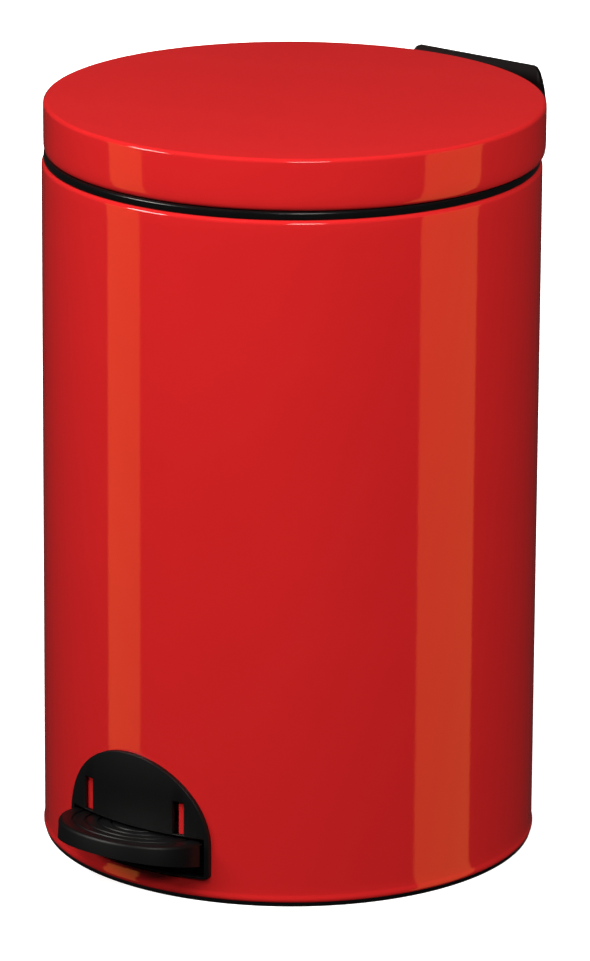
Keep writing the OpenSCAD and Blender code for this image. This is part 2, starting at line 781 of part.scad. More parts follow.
module inner_bucket() {
    wall = bucket_r - bucket_wall / 2;
    floor_z = bucket_up + bucket_wall / 2;
    floor_r = wall - bucket_taper;
    path = concat(
        [[0, floor_z]],
        arc([floor_r - 8, floor_z + 8], 8, -90, 0, 5),
        [[wall, bucket_rim_z - bucket_straight], [wall, bucket_rim_z - 2]],
        arc([wall + 2, bucket_rim_z - 2], 2, 180, 90, 4),
        [[bucket_rim_r - 0.4, bucket_rim_z]]);
    color(ZINC) difference() {
        turned(sheet(path, bucket_wall));
        crossbar(bail_r + loose, -body_r, body_r, 0, bail_z);
        for (s = [0, 180], z = [-1, 1]) spoke(rivet_r + run_fit, bucket_r - 6, bucket_r + 3, s, bail_z + z * ear_rivet_up);
    }
}

module bail_ears() {
    color(ZINC) difference() {
        intersection() {
            tube(bucket_in - clear, bucket_in - clear - ear_t, bail_z - ear_half, bail_z + ear_half);
            translate([-body_r, -9, 0]) cube([2 * body_r, 18, body_h]);
        }
        crossbar(bail_r + loose, -body_r, body_r, 0, bail_z);
        for (s = [0, 180], z = [-1, 1]) spoke(rivet_r + run_fit, bucket_r - 12, bucket_r + 3, s, bail_z + z * ear_rivet_up);
    }
}

module ear_rivets() {
    color(STEEL) for (s = [0, 180], z = [-1, 1])
        rivet(bucket_r, bucket_in - clear - ear_t, s, bail_z + z * ear_rivet_up);
}

module bucket_bail() {
    color(STEEL) union() {
        translate([0, 0, bail_z]) rotate([90, 0, 0]) rotate([0, 0, 180])
            rotate_extrude(angle = 180, $fn = 120) translate([bail_radius, 0]) circle(r = bail_r, $fn = 24);
        both() {
            translate([bail_radius, 0, bail_z]) sphere(r = bail_r);
            crossbar(bail_r, bail_radius, bucket_r + 1, 0, bail_z);
            crossbar(bail_head_r, bucket_r + 0.35, bucket_r + 1.2, 0, bail_z);
        }
    }
}

body_shell();
bottom_plate();
base_ring();
top_collar();
pedal_surround();
hinge_housing();
housing_rivets();
hinge_pin();
pivot_bracket();
bracket_rivets();
lever_axle();
axle_clips();
rod_guides();
guide_rivets();
lid_shell();
lid_bracket();
lid_rivets();
hinge_bushes();
pedal_tread();
pedal_lever();
pedal_screws();
lever_bush();
push_rod();
rod_clips();
inner_bucket();
bail_ears();
ear_rivets();
bucket_bail();
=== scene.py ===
# %% [markdown]
# # A pedal-operated waste can
#
# A round can of red powder-coated steel: a lid hinged in a black pocket at the back, a black band under
# the lid, a foot pedal in a black plate at the front, and a bucket inside that lifts out. The engineering
# model gives every size, and this lesson dresses it. It keeps the model's hidden metal parts as they are,
# with better materials, and models again, with rounder edges and finer curves, the seven pieces that
# people see.

# %% Start: load the model and note its size
import json
import math

import bmesh
import bpy
from mathutils import Matrix, Vector


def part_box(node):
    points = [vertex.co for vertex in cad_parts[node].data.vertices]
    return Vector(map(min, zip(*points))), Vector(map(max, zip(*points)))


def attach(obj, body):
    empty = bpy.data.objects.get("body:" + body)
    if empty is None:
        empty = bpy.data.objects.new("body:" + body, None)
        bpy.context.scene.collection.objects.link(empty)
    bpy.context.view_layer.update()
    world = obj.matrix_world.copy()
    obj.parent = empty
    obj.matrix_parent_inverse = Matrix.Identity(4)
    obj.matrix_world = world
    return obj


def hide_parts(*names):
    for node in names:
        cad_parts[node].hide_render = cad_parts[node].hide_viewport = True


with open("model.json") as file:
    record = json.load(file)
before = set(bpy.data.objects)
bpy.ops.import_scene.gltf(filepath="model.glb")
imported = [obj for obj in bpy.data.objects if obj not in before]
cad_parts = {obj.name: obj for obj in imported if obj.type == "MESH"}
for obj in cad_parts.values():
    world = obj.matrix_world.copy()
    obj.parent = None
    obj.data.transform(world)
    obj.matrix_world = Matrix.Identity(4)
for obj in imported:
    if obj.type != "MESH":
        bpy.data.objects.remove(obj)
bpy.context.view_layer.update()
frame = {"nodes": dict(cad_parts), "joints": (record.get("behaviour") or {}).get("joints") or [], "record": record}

# %% [markdown]
# ## Helpers for shaping
#
# Most of the can is turned: a flat section swept once round the upright axis, like a pot on a wheel. A
# short helper draws the section as a chain of points and spins it. A second helper rounds a corner of a
# section with an arc, because a sharp corner on sheet metal never catches the light the way a rolled one
# does. A third puts a finished bmesh into the scene, rides it on a body of the model and hides the plain
# part it stands for.

# %% Helpers: sections, spinning and placing
MM = 0.001
ROUND_STEPS = 288        # facets round the can: enough for an outline with no visible corners


def box_mm(node):
    """The lowest and the highest corner of a node of the model, in millimetres to a tenth."""
    return [[round(c / MM, 1) for c in corner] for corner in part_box(node)]


def arc(centre, radius, start, end, steps=6):
    """Points on a circular arc in the section plane, angles in degrees."""
    angles = [math.radians(start + (end - start) * i / steps) for i in range(steps + 1)]
    return [(centre[0] + radius * math.cos(a), centre[1] + radius * math.sin(a)) for a in angles]


def turned(section, closed=False, centre_y=0.0):
    """A bmesh of a section of (radius, height) points in millimetres, spun once round the can."""
    bm = bmesh.new()
    verts = [bm.verts.new((r * MM, 0, z * MM)) for r, z in section]
    for a, b in zip(verts, verts[1:]):
        bm.edges.new((a, b))
    if closed:
        bm.edges.new((verts[-1], verts[0]))
    bmesh.ops.spin(bm, geom=bm.verts[:] + bm.edges[:], cent=(0, 0, 0), axis=(0, 0, 1), dvec=(0, 0, 0),
                   angle=2 * math.pi, steps=ROUND_STEPS, use_merge=True)
    bmesh.ops.remove_doubles(bm, verts=bm.verts, dist=1e-6)
    bmesh.ops.recalc_face_normals(bm, faces=bm.faces)
    bmesh.ops.translate(bm, verts=bm.verts, vec=(0, centre_y * MM, 0))
    return bm


def cut(bm, faces, point, normal):
    """Cuts some faces with a plane and keeps both sides."""
    geom = set(faces) | {e for f in faces for e in f.edges} | {v for f in faces for v in f.verts}
    bmesh.ops.bisect_plane(bm, geom=list(geom), plane_co=point, plane_no=normal, dist=1e-7)


def remove_faces(bm, test):
    """Deletes the faces whose middle passes a test."""
    doomed = [f for f in bm.faces if test(f.calc_center_median())]
    bmesh.ops.delete(bm, geom=doomed, context="FACES")
    return len(doomed)


def place(name, bm, body, replaces, material, sharp=35, closed=True):
    """Puts a bmesh in the scene as a piece of the object."""
    if closed:
        bmesh.ops.recalc_face_normals(bm, faces=bm.faces)
    mesh = bpy.data.meshes.new(name)
    bm.to_mesh(mesh)
    bm.free()
    mesh.materials.append(material)
    mesh.shade_smooth()
    mesh.set_sharp_from_angle(angle=math.radians(sharp))
    piece = bpy.data.objects.new(name, mesh)
    bpy.context.scene.collection.objects.link(piece)
    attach(piece, body)
    if replaces:
        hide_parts(replaces)
    print(name, len(mesh.polygons), "faces on", body)
    return piece


def apply_modifiers(piece, sharp=35):
    """Turns what the modifiers make into the piece's own mesh, and marks its sharp edges."""
    bpy.context.view_layer.update()
    evaluated = piece.evaluated_get(bpy.context.evaluated_depsgraph_get())
    mesh = bpy.data.meshes.new_from_object(evaluated)
    piece.modifiers.clear()
    piece.data = mesh
    mesh.set_sharp_from_angle(angle=math.radians(sharp))


def thicken(piece, thickness):
    """Gives a sheet its thickness, inwards from the outer skin."""
    wall = piece.modifiers.new("sheet thickness", "SOLIDIFY")
    wall.thickness = thickness * MM
    wall.offset = -1
    wall.use_even_offset = True
    apply_modifiers(piece)


def soften(piece, width, segments=2, angle=40):
    """Rounds the sharp edges that are left."""
    edge = piece.modifiers.new("rounded edges", "BEVEL")
    edge.width = width * MM
    edge.segments = segments
    edge.limit_method = "ANGLE"
    edge.angle_limit = math.radians(angle)
    edge.harden_normals = False
    edge.miter_outer = "MITER_ARC"

# %% [markdown]
# ## Finishes: what they share
#
# Powder coat, moulded plastic and plated steel have one thing in common: none is perfectly even. Up close
# the surface has a fine relief, and its gloss drifts a little where it was handled. Both effects are
# built once as node groups, and each finish sets its own size and amount. The groups work on Object
# coordinates, in metres.

# %% Shared groups: fine relief and uneven gloss
def new_group(name, inputs, outputs):
    """An empty shader group with named inputs (name, default) and outputs."""
    group = bpy.data.node_groups.new(name, "ShaderNodeTree")
    for label, value in inputs:
        socket = group.interface.new_socket(label, in_out="INPUT", socket_type="NodeSocketFloat")
        socket.default_value = value
    for label in outputs:
        group.interface.new_socket(label, in_out="OUTPUT", socket_type="NodeSocketFloat")
    return group, group.nodes.new("NodeGroupInput"), group.nodes.new("NodeGroupOutput")


def math_node(tree, operation, a, b, clamp=False):
    """A maths node; a and b are sockets or numbers."""
    node = tree.nodes.new("ShaderNodeMath")
    node.operation = operation
    node.use_clamp = clamp
    for i, value in enumerate((a, b)):
        if isinstance(value, (int, float)):
            node.inputs[i].default_value = value
        else:
            tree.links.new(value, node.inputs[i])
    return node.outputs[0]


def noise_node(tree, vector, scale, detail=2.0, roughness=0.5):
    """Noise on a vector; scale is a socket or a number of waves per metre."""
    node = tree.nodes.new("ShaderNodeTexNoise")
    node.inputs["Detail"].default_value = detail
    node.inputs["Roughness"].default_value = roughness
    tree.links.new(vector, node.inputs["Vector"])
    if isinstance(scale, (int, float)):
        node.inputs["Scale"].default_value = scale
    else:
        tree.links.new(scale, node.inputs["Scale"])
    return node.outputs["Fac"]


fine_relief, relief_in, relief_out = new_group(
    "Fine relief", [("Waves per metre", 400.0), ("Fine share", 0.3)], ["Height"])
place_coords = fine_relief.nodes.new("ShaderNodeTexCoord").outputs["Object"]
broad = noise_node(fine_relief, place_coords, relief_in.outputs["Waves per metre"], 1.0)
tripled = math_node(fine_relief, "MULTIPLY", relief_in.outputs["Waves per metre"], 3.1)
tight = noise_node(fine_relief, place_coords, tripled, 2.0)
tight_share = math_node(fine_relief, "MULTIPLY", tight, relief_in.outputs["Fine share"])
fine_relief.links.new(math_node(fine_relief, "ADD", broad, tight_share), relief_out.inputs["Height"])

uneven_gloss, gloss_in, gloss_out = new_group(
    "Uneven gloss", [("Roughness", 0.3), ("Drift", 0.05)], ["Roughness"])
place_coords = uneven_gloss.nodes.new("ShaderNodeTexCoord").outputs["Object"]
patches = noise_node(uneven_gloss, place_coords, 14.0, 4.0, 0.6)
centred = math_node(uneven_gloss, "SUBTRACT", patches, 0.5)
drift = math_node(uneven_gloss, "MULTIPLY", centred, gloss_in.outputs["Drift"])
total = math_node(uneven_gloss, "ADD", gloss_in.outputs["Roughness"], drift, clamp=True)
uneven_gloss.links.new(total, gloss_out.inputs["Roughness"])
print("groups", [g.name for g in bpy.data.node_groups])

# %% [markdown]
# ## The finishes
#
# One function makes them all: a Principled shader whose roughness comes from the gloss group, whose bump
# comes from the relief group, and whose colour drifts between two near shades. Powder coat gets waves
# about two millimetres long and very shallow, the orange-peel skin that frays the edge of a reflection.
# Moulded plastic gets a finer grain and a broader sheen. Zinc plate gets the faint patches that plating
# leaves.

# %% Materials
def finish_material(name, shade_a, shade_b, roughness, drift, waves, fine, depth_um, metallic=0.0, patch=20.0,
                    ior=1.5):
    """A finish: two near shades, its roughness and its relief, with the relief's depth in micrometres."""
    material = bpy.data.materials.new(name)
    material.use_nodes = True
    tree = material.node_tree
    shader = tree.nodes["Principled BSDF"]
    shader.inputs["Metallic"].default_value = metallic
    shader.inputs["IOR"].default_value = ior
    coords = tree.nodes.new("ShaderNodeTexCoord").outputs["Object"]
    mix = tree.nodes.new("ShaderNodeMix")
    mix.data_type = "RGBA"
    mix.inputs["A"].default_value = (*shade_a, 1)
    mix.inputs["B"].default_value = (*shade_b, 1)
    tree.links.new(noise_node(tree, coords, patch, 3.0), mix.inputs["Factor"])
    tree.links.new(mix.outputs["Result"], shader.inputs["Base Color"])
    gloss = tree.nodes.new("ShaderNodeGroup")
    gloss.node_tree = uneven_gloss
    gloss.inputs["Roughness"].default_value = roughness
    gloss.inputs["Drift"].default_value = drift
    tree.links.new(gloss.outputs["Roughness"], shader.inputs["Roughness"])
    relief = tree.nodes.new("ShaderNodeGroup")
    relief.node_tree = fine_relief
    relief.inputs["Waves per metre"].default_value = waves
    relief.inputs["Fine share"].default_value = fine
    bump = tree.nodes.new("ShaderNodeBump")
    bump.inputs["Strength"].default_value = 1.0
    bump.inputs["Distance"].default_value = depth_um * 1e-6
    tree.links.new(relief.outputs["Height"], bump.inputs["Height"])
    tree.links.new(bump.outputs["Normal"], shader.inputs["Normal"])
    return material


red_paint = finish_material(
    "red powder coat", (0.600, 0.0150, 0.0165), (0.640, 0.0175, 0.0185), roughness=0.065, drift=0.03,
    waves=420, fine=0.15, depth_um=11)
black_plastic = finish_material(
    "black moulded plastic", (0.0016, 0.0016, 0.0018), (0.0026, 0.0025, 0.0027), roughness=0.46, drift=0.06,
    waves=1500, fine=0.5, depth_um=9)
rim_plastic = finish_material(
    "black rim plastic", (0.0030, 0.0030, 0.0033), (0.0042, 0.0042, 0.0046), roughness=0.20, drift=0.05,
    waves=1100, fine=0.4, depth_um=4)
zinc_plate = finish_material(
    "zinc plated steel", (0.52, 0.54, 0.56), (0.66, 0.67, 0.68), roughness=0.34, drift=0.12,
    waves=900, fine=0.6, depth_um=6, metallic=1.0, patch=90)
bright_steel = finish_material(
    "drawn steel", (0.50, 0.50, 0.51), (0.60, 0.60, 0.61), roughness=0.26, drift=0.10,
    waves=1600, fine=0.5, depth_um=4, metallic=1.0, patch=150)
nylon = finish_material(
    "natural nylon", (0.76, 0.74, 0.67), (0.82, 0.80, 0.73), roughness=0.42, drift=0.06,
    waves=900, fine=0.4, depth_um=8)
print("materials", len(bpy.data.materials))

FINISH_OF_SLOT = {"red_paint": red_paint, "black_plastic": black_plastic, "zinc": zinc_plate,
                  "steel": bright_steel, "nylon": nylon}
slot_of_node = {s["node"]: s["material_slot"] for s in frame["record"]["subparts"]}
for node_name, node in frame["nodes"].items():
    for slot in node.material_slots:
        slot.material = FINISH_OF_SLOT[slot_of_node[node_name]]

# %% [markdown]
# ## Body
#
# The body is one rolled sheet, eight tenths of a millimetre thick: a small bead at the foot where it
# grips the base ring, a straight wall, and a rolled shoulder that turns in under the black band. The
# section is spun as a single skin, a window is cut for the pedal and a notch for the lid's crank, and
# then the sheet gets its thickness from a Solidify modifier, inwards, so that the outer size stays what
# the model says.

# %% Body wall
FOOT_BEAD = 0.6
body_low, body_high = box_mm("body_shell")
BODY_R = round(body_high[0] - FOOT_BEAD, 1)
BODY_TOP = body_high[2]
SHEET = 0.8
FOOT = 3.0
SHOULDER = 3.0
SHOULDER_LIP = 1.2       # how far the rolled top carries on past its curve
WINDOW_HALF, WINDOW_LOW, WINDOW_HIGH = 32.7, 12.5, 61.0
GAP_HALF, GAP_LOW, GAP_HIGH = 49.5, 14.8, 38.0

bead = [(0.1, 0), (0.42, 0.4), (0.58, 1.1), (FOOT_BEAD, 1.8), (0.46, 2.7), (0.14, 3.7), (0, 4.6)]
section = [(BODY_R + out, FOOT + up) for out, up in bead]
section += [(BODY_R, z) for z in (WINDOW_LOW, GAP_LOW, GAP_HIGH, WINDOW_HIGH, 64, 90, 200, 310, 400)]
section += arc((BODY_R - SHOULDER, BODY_TOP - SHOULDER), SHOULDER, 0, 90, 10)
section += [(BODY_R - SHOULDER - SHOULDER_LIP, BODY_TOP)]
bm = turned(section)


def cut_opening(bm, front, half, low, high):
    """Opens a straight-sided window in the front or the back of a turned sheet, between rows of its faces."""
    def near(c):
        return (c.y < 0) == front and abs(c.y) > 0.1 and low * MM < c.z < high * MM
    for side in (-1, 1):
        cut(bm, [f for f in bm.faces if near(f.calc_center_median())], (side * half * MM, 0, 0), (1, 0, 0))
    return remove_faces(bm, lambda c: near(c) and abs(c.x) < half * MM)


gone = cut_opening(bm, True, WINDOW_HALF, WINDOW_LOW, WINDOW_HIGH)
gone += cut_opening(bm, True, GAP_HALF, GAP_LOW, GAP_HIGH)
gone += cut_opening(bm, False, 11, 400, 420)
print("faces cut away for the window and the notch:", gone)
body_wall = place("body_wall", bm, "can", "body_shell", red_paint, closed=False)
thicken(body_wall, SHEET)

# %% [markdown]
# ## Lid
#
# The lid is pressed from one sheet: an almost flat crown, a rounded edge, a straight skirt, and a hem
# that curls in so that no raw edge can cut a hand. It sits a little back of the body's axis. At the back
# the skirt is notched, so that the lid can swing past the hinge's bearing lugs.

# %% Lid
lid_low, lid_high = box_mm("lid_shell")
LID_R = round((lid_high[0] - lid_low[0]) / 2, 1)
LID_BACK = round((lid_high[1] + lid_low[1]) / 2, 1)
LID_LOW = 416.0
LID_EDGE = 2.5
LID_CROWN = 1.0
LID_RIM = round(lid_high[2] - LID_CROWN, 1)
NOTCH_HALF, NOTCH_TOP = 35.5, 429.0

crown_r = LID_R - LID_EDGE
section = []
for share in [1 - i / 10 for i in range(10)]:
    section += [(crown_r * (1 - share), LID_RIM + LID_CROWN * (1 - (1 - share) ** 2))]
section += arc((crown_r, LID_RIM - LID_EDGE), LID_EDGE, 90, 0, 14)
section += [(LID_R, z) for z in (436, NOTCH_TOP, 423.5)]
hem = [(0.15, 3.6), (0.5, 1.6), (1.1, 0.45), (1.9, 0), (2.6, 0.35), (2.9, 1.3)]
section += [(LID_R - inwards, LID_LOW + up) for inwards, up in hem]
bm = turned(section, centre_y=LID_BACK)
gone = cut_opening(bm, False, NOTCH_HALF, 410, NOTCH_TOP)
print("faces cut away for the hinge notch:", gone)
lid_cap = place("lid_cap", bm, "lid", "lid_shell", red_paint, closed=False)
thicken(lid_cap, SHEET)

# %% [markdown]
# ## Rim collar and base ring
#
# Both are black mouldings turned as closed sections. The collar is pushed into the body's rolled top: its
# band shows between body and lid, its lip stands up inside the lid, and its ledge carries the bucket. A
# gap at the back lets the crank through. The base ring's foot keeps the steel off the floor.

# %% Rim collar
BAND_R = 144.8
BAND_TOP = 415.7
section = [(BAND_R - 0.25, BODY_TOP + 0.05), (BAND_R - 0.05, BODY_TOP + 0.5)]
section += [(BAND_R, BODY_TOP + 1.6), (BAND_R, BAND_TOP - 2.2)]
section += arc((BAND_R - 1.5, BAND_TOP - 1.5), 1.5, 0, 90, 7)
section += [(139.6, BAND_TOP), (139.6, 419.8)]
section += arc((138.9, 419.8), 0.7, 0, 90, 4) + arc((138.5, 419.8), 0.7, 90, 180, 4)
section += [(137.8, 404.0), (136.8, 403.0), (127.6, 403.0), (127.6, 400.5)]
section += [(141.6, 400.5), (141.6, BODY_TOP + 0.05)]
bm = turned(section, closed=True)
COLLAR_GAP = 0.012       # half the gap at the back, in metres
for side in (-1, 1):
    cut(bm, [f for f in bm.faces if f.calc_center_median().y > 0.1], (side * COLLAR_GAP, 0, 0), (1, 0, 0))
remove_faces(bm, lambda c: c.y > 0.1 and abs(c.x) < COLLAR_GAP)
ends = bmesh.ops.holes_fill(bm, edges=[e for e in bm.edges if e.is_boundary], sides=0)
print("collar ends closed:", len(ends["faces"]))
rim_collar = place("rim_collar", bm, "can", "top_collar", rim_plastic)

# %% Base ring
section = [(131.0, 0.4), (131.4, 0.0), (BODY_R - 1.6, 0.0)] + arc((BODY_R - 1.5, 1.2), 1.2, -90, 0, 5)
section += [(BODY_R - 0.3, 2.7), (BODY_R - 0.5, 2.9), (145.0, 2.9), (145.0, 10.0), (143.0, 10.0)]
section += [(143.0, 3.0), (131.0, 3.0)]
bm = turned(section, closed=True)
foot_ring = place("foot_ring", bm, "can", "base_ring", black_plastic)

# %% [markdown]
# ## Pedal plate
#
# The plate is a flat moulding bent round the can. It is easiest to draw it flat: a disc, trimmed to
# straight sides and a straight foot, with a mouth for the pedal and two slots cut out of it by planes.
# While it is still flat it gets its thickness and its rounded rim, and only then is it bent, by moving
# each point back on to the can's curve at its own width. Thin upright strips let it follow the curve.

# %% Pedal plate: the flat outline
plate_low, plate_high = box_mm("pedal_surround")
PLATE_HALF = plate_high[0]
PLATE_TOP = plate_high[2]
PLATE_LOW = plate_low[2]
PLATE_FIT = 0.1          # gap between the plate and the steel
PLATE_T = round(-plate_low[1] - BODY_R - PLATE_FIT, 1)
MOUTH_HALF, MOUTH_LOW, MOUTH_HIGH = 49.3, 16.0, 39.0
SLOT_IN, SLOT_OUT, SLOT_LOW, SLOT_HIGH = 30.3, 37.3, 40.0, 60.0
ARCH_LOW = 33.0           # where the arch meets the straight sides

bm = bmesh.new()
bmesh.ops.create_circle(bm, cap_ends=True, segments=160, radius=PLATE_HALF * MM)
bmesh.ops.rotate(bm, verts=bm.verts, cent=(0, 0, 0), matrix=Matrix.Rotation(math.pi / 2, 3, "X"))
bmesh.ops.scale(bm, verts=bm.verts, vec=(1, 1, (PLATE_TOP - ARCH_LOW) / PLATE_HALF))
bmesh.ops.translate(bm, verts=bm.verts, vec=(0, 0, ARCH_LOW * MM))
for v in bm.verts:
    if v.co.z < ARCH_LOW * MM:
        v.co.x = math.copysign(PLATE_HALF * MM, v.co.x)
        v.co.z = PLATE_LOW * MM
bmesh.ops.remove_doubles(bm, verts=bm.verts, dist=1e-6)
corners = [v for v in bm.verts if v.co.z < (PLATE_LOW + 0.01) * MM and abs(v.co.x) > (PLATE_HALF - 0.01) * MM]
bmesh.ops.bevel(bm, geom=corners, offset=3 * MM, affect="VERTICES", segments=5, profile=0.5, material=-1)
for half in (MOUTH_HALF, SLOT_IN, SLOT_OUT):
    for side in (-1, 1):
        cut(bm, bm.faces[:], (side * half * MM, 0, 0), (1, 0, 0))
for height in (MOUTH_LOW, MOUTH_HIGH, SLOT_LOW, SLOT_HIGH):
    cut(bm, bm.faces[:], (0, 0, height * MM), (0, 0, 1))
remove_faces(bm, lambda c: abs(c.x) < MOUTH_HALF * MM and MOUTH_LOW * MM < c.z < MOUTH_HIGH * MM)
remove_faces(bm, lambda c: SLOT_IN * MM < abs(c.x) < SLOT_OUT * MM and SLOT_LOW * MM < c.z < SLOT_HIGH * MM)
print("flat plate", len(bm.faces), "faces")

# %% Pedal plate: thickness, rim, strips and bend
made = bmesh.ops.extrude_face_region(bm, geom=bm.faces[:])
front_verts = [g for g in made["geom"] if isinstance(g, bmesh.types.BMVert)]
bmesh.ops.translate(bm, verts=front_verts, vec=(0, -PLATE_T * MM, 0))
bmesh.ops.recalc_face_normals(bm, faces=bm.faces)
front_edges = [e for e in bm.edges if all(v.co.y < -0.9 * PLATE_T * MM for v in e.verts)]
rim_edges = [e for e in front_edges if len(e.link_faces) == 2 and e.calc_face_angle() > 1]
bmesh.ops.bevel(bm, geom=rim_edges, offset=0.9 * MM, affect="EDGES", segments=3, profile=0.5, material=-1,
                clamp_overlap=True)
for i in range(-13, 14):
    cut(bm, bm.faces[:], (i * 4 * MM + 1e-5, 0, 0), (1, 0, 0))
for v in bm.verts:
    reach = (BODY_R + PLATE_FIT) * MM - v.co.y
    v.co.y = -math.sqrt(reach ** 2 - v.co.x ** 2)

# %% [markdown]
# Each slot has a snap hook beside it: a short wall that reaches through the window in the body, with a
# toe behind the steel. The slots are only there so that the mould could form those toes.

# %% Pedal plate: snap hooks
HOOK_T, HOOK_TOE, HOOK_H, HOOK_ROOT = 2.5, 2.4, 5, -143.8
toe_x = WINDOW_HALF + 2
toe_y = math.sqrt((BODY_R - SHEET - 0.2) ** 2 - toe_x ** 2)
wall = (SLOT_IN - HOOK_T, SLOT_IN, HOOK_ROOT, -toe_y + HOOK_TOE)
toe = (SLOT_IN - HOOK_T, toe_x, -toe_y, -toe_y + HOOK_TOE)
for side in (-1, 1):
    for low in (SLOT_LOW + 1, SLOT_HIGH - 6):
        for x0, x1, y0, y1 in (wall, toe):
            size = Vector((x1 - x0, y1 - y0, HOOK_H)) * MM
            centre = Vector((side * (x0 + x1) / 2, (y0 + y1) / 2, low + HOOK_H / 2)) * MM
            shape = Matrix.Translation(centre) @ Matrix.Diagonal((*size, 1))
            bmesh.ops.create_cube(bm, size=1, matrix=shape)
pedal_plate = place("pedal_plate", bm, "can", "pedal_surround", black_plastic)

# %% [markdown]
# ## Foot pedal
#
# The tread is a thin-walled cap. Seen from above it is half of a rounded shape with its straight side
# inside the can, and it slopes up a little towards the toe. The operators do the work: half a circle is
# squared off a touch, then the same curve is extruded again and again towards the middle, a little
# smaller each time and lower where a groove runs. That gives the rounded front edge and the non-slip
# grooves in one sweep. It is drawn level, then tipped and moved to the front of the can, where a Boolean
# trims its back to the can's curve.

# %% Foot pedal: skirt, rounded edge and grooved deck
PEDAL_HALF = box_mm("pedal_tread")[1][0]
PEDAL_REACH = 35.0
PEDAL_BACK = 5.0         # how far the straight side lies inside the can
PEDAL_TOP = 38.0
PEDAL_TILT = math.radians(5)
SQUARED = 2 / 2.1
skirt_front, skirt_drop = 10.0, 4.0
depth = PEDAL_REACH + PEDAL_BACK

bm = bmesh.new()
bmesh.ops.create_circle(bm, cap_ends=False, segments=192, radius=1)
bmesh.ops.bisect_plane(bm, geom=bm.verts[:] + bm.edges[:], plane_co=(0, 0, 0), plane_no=(0, 1, 0), dist=1e-6,
                       clear_outer=True)
for v in bm.verts:
    x, y = v.co.x, v.co.y
    v.co.x = math.copysign(abs(x) ** SQUARED, x) * PEDAL_HALF * MM
    v.co.y = -abs(y) ** SQUARED * depth * MM
    reach = -v.co.y / MM - PEDAL_BACK
    v.co.z = (skirt_drop * reach / PEDAL_REACH - skirt_front - skirt_drop) * MM


def sweep_inwards(bm, edges, rings):
    """Extrudes a rim again and again: each ring is a share of the full width and depth, and a height."""
    wide_now, deep_now = 1.0, 1.0
    for wide, deep, height in rings:
        made = bmesh.ops.extrude_edge_only(bm, edges=edges)
        verts = [g for g in made["geom"] if isinstance(g, bmesh.types.BMVert)]
        edges = [g for g in made["geom"] if isinstance(g, bmesh.types.BMEdge)]
        bmesh.ops.scale(bm, verts=verts, vec=(wide / wide_now, deep / deep_now, 1))
        if height is not None:
            for v in verts:
                v.co.z = height * MM
        wide_now, deep_now = wide, deep
    bmesh.ops.contextual_create(bm, geom=edges)


rim = bm.edges[:]
top_rings = [(1.0, -2.2), (0.996, -1.3), (0.985, -0.55), (0.969, -0.12), (0.95, 0.0)]
for groove in range(1, 6):
    s = 0.98 - 0.165 * groove
    top_rings += [(s + 0.06, 0.0), (s + 0.022, -0.08), (s + 0.013, -0.8)]
    top_rings += [(s - 0.009, -0.8), (s - 0.018, -0.08)]
top_rings += [(0.07, 0.0), (0.01, 0.0)]
sweep_inwards(bm, rim, [(share, share, height) for share, height in top_rings])
WALL_WIDE, WALL_DEEP = 1 - 2.4 / PEDAL_HALF, 1 - 2.4 / depth
sweep_inwards(bm, rim, [(WALL_WIDE, WALL_DEEP, None), (WALL_WIDE, WALL_DEEP, -3.4),
                        (WALL_WIDE - 0.03, WALL_DEEP - 0.03, -2.4), (0.01, 0.01, -2.4)])
bmesh.ops.remove_doubles(bm, verts=bm.verts, dist=1e-7)
closing = bmesh.ops.holes_fill(bm, edges=[e for e in bm.edges if e.is_boundary], sides=0)
bmesh.ops.translate(bm, verts=bm.verts, vec=(0, PEDAL_BACK * MM, 0))
bmesh.ops.rotate(bm, verts=bm.verts, cent=(0, 0, 0), matrix=Matrix.Rotation(-PEDAL_TILT, 3, "X"))
bmesh.ops.translate(bm, verts=bm.verts, vec=(0, -BODY_R * MM, PEDAL_TOP * MM))
print("back of the tread closed with", len(closing["faces"]), "face")
print("tread skin", len(bm.faces), "faces")

# %% Foot pedal: the cut against the can
foot_pedal = place("foot_pedal", bm, "pedal", "pedal_tread", black_plastic)


def cutter(name, radius, low, high):
    """A drum that a Boolean uses to cut another piece, then thrown away."""
    shape = bmesh.new()
    middle = Matrix.Translation((0, 0, (low + high) / 2 * MM))
    bmesh.ops.create_cone(shape, cap_ends=True, segments=ROUND_STEPS, radius1=radius * MM,
                          radius2=radius * MM, depth=(high - low) * MM, matrix=middle)
    mesh = bpy.data.meshes.new(name)
    shape.to_mesh(mesh)
    shape.free()
    drum = bpy.data.objects.new(name, mesh)
    bpy.context.scene.collection.objects.link(drum)
    return drum


drums = [cutter("back cut", BODY_R + 1, 0, 60),
         cutter("skirt ends cut", BODY_R + PLATE_T + 2, 0, PEDAL_TOP - 2.3)]
for drum in drums:
    trim = foot_pedal.modifiers.new(drum.name, "BOOLEAN")
    trim.operation = "DIFFERENCE"
    trim.solver = "EXACT"
    trim.object = drum
apply_modifiers(foot_pedal, sharp=32)
for drum in drums:
    bpy.data.objects.remove(drum)
print("tread", len(foot_pedal.data.polygons), "faces")

